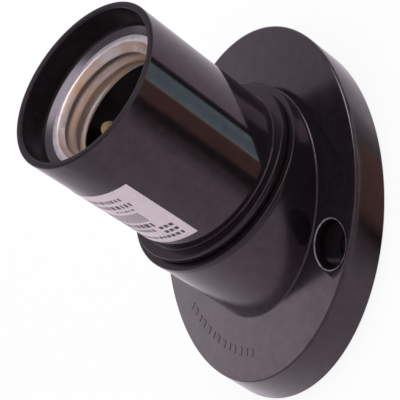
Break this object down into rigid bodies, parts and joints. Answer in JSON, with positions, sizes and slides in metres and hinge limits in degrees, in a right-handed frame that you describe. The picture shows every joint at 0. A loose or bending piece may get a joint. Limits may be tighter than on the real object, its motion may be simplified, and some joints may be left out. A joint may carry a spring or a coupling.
{
  "type": "batten lamp holder",
  "caption": "Inclined wall and ceiling lamp holder in black phenolic: oval base plate with an oblique neck, screwed-on tube, metal screw sleeve and ceramic contact insert.",
  "frame": {"origin": "midway between the two fixing screw holes, on the flat back plane", "axes": "+Z out of the wall, X through both screw holes, and the tube leans towards -Y"},
  "size_m": [0.0734, 0.0861, 0.0665],
  "materials": {
    "phenolic": "polished black phenolic moulding",
    "plated_sheet": "plated rolled sheet",
    "porcelain": "unglazed white ceramic",
    "brass_strip": "bright spring brass",
    "zinc_steel": "zinc plated steel",
    "spring_steel": "blued spring steel",
    "label_paper": "printed paper sticker"
  },
  "bodies": {
    "holder": {"base": "phenolic", "insert": "porcelain", "centre_fixing_screw": "zinc_steel", "side_fixing_screw": "zinc_steel", "live_terminal_plate": "zinc_steel", "live_clamp_washer": "zinc_steel", "live_spring_washer": "spring_steel", "live_terminal_screw": "zinc_steel", "neutral_terminal_plate": "zinc_steel", "neutral_clamp_washer": "zinc_steel", "neutral_spring_washer": "spring_steel", "neutral_terminal_screw": "zinc_steel"},
    "sleeve": {"threaded_sleeve": "plated_sheet"},
    "tube": {"shell": "phenolic", "rating_label": "label_paper"},
    "centre_leaf": {"centre_contact": "brass_strip"},
    "side_tongue": {"side_contact": "brass_strip"}
  },
  "joints": [
    {"name": "shell_travel", "type": "slide", "parent": "holder", "child": "sleeve", "axis": [0, -0.4289, 0.9033], "range_m": [0, 0.00875]},
    {"name": "shell_turn", "type": "hinge", "parent": "sleeve", "child": "tube", "pos_m": [0, -0.00858, 0.02687], "axis": [0, -0.4289, 0.9033], "range_deg": [0, 1260]},
    {"name": "centre_contact_flex", "type": "hinge", "parent": "holder", "child": "centre_leaf", "pos_m": [-0.00526, -0.01065, 0.02677], "axis": [-0.342, 0.8489, 0.4031], "range_deg": [0, 14], "stiffness_Nm_per_rad": 0.2, "deforming": ["centre_contact"]},
    {"name": "side_contact_flex", "type": "hinge", "parent": "holder", "child": "side_tongue", "pos_m": [0.01297, -0.00466, 0.02961], "axis": [-0.342, 0.8489, 0.4031], "range_deg": [0, 5], "stiffness_Nm_per_rad": 0.5, "deforming": ["side_contact"]}
  ],
  "couplings": [
    {"joint": "shell_travel", "follows": "shell_turn", "m_per_rad": 0.00039789}
  ]
}
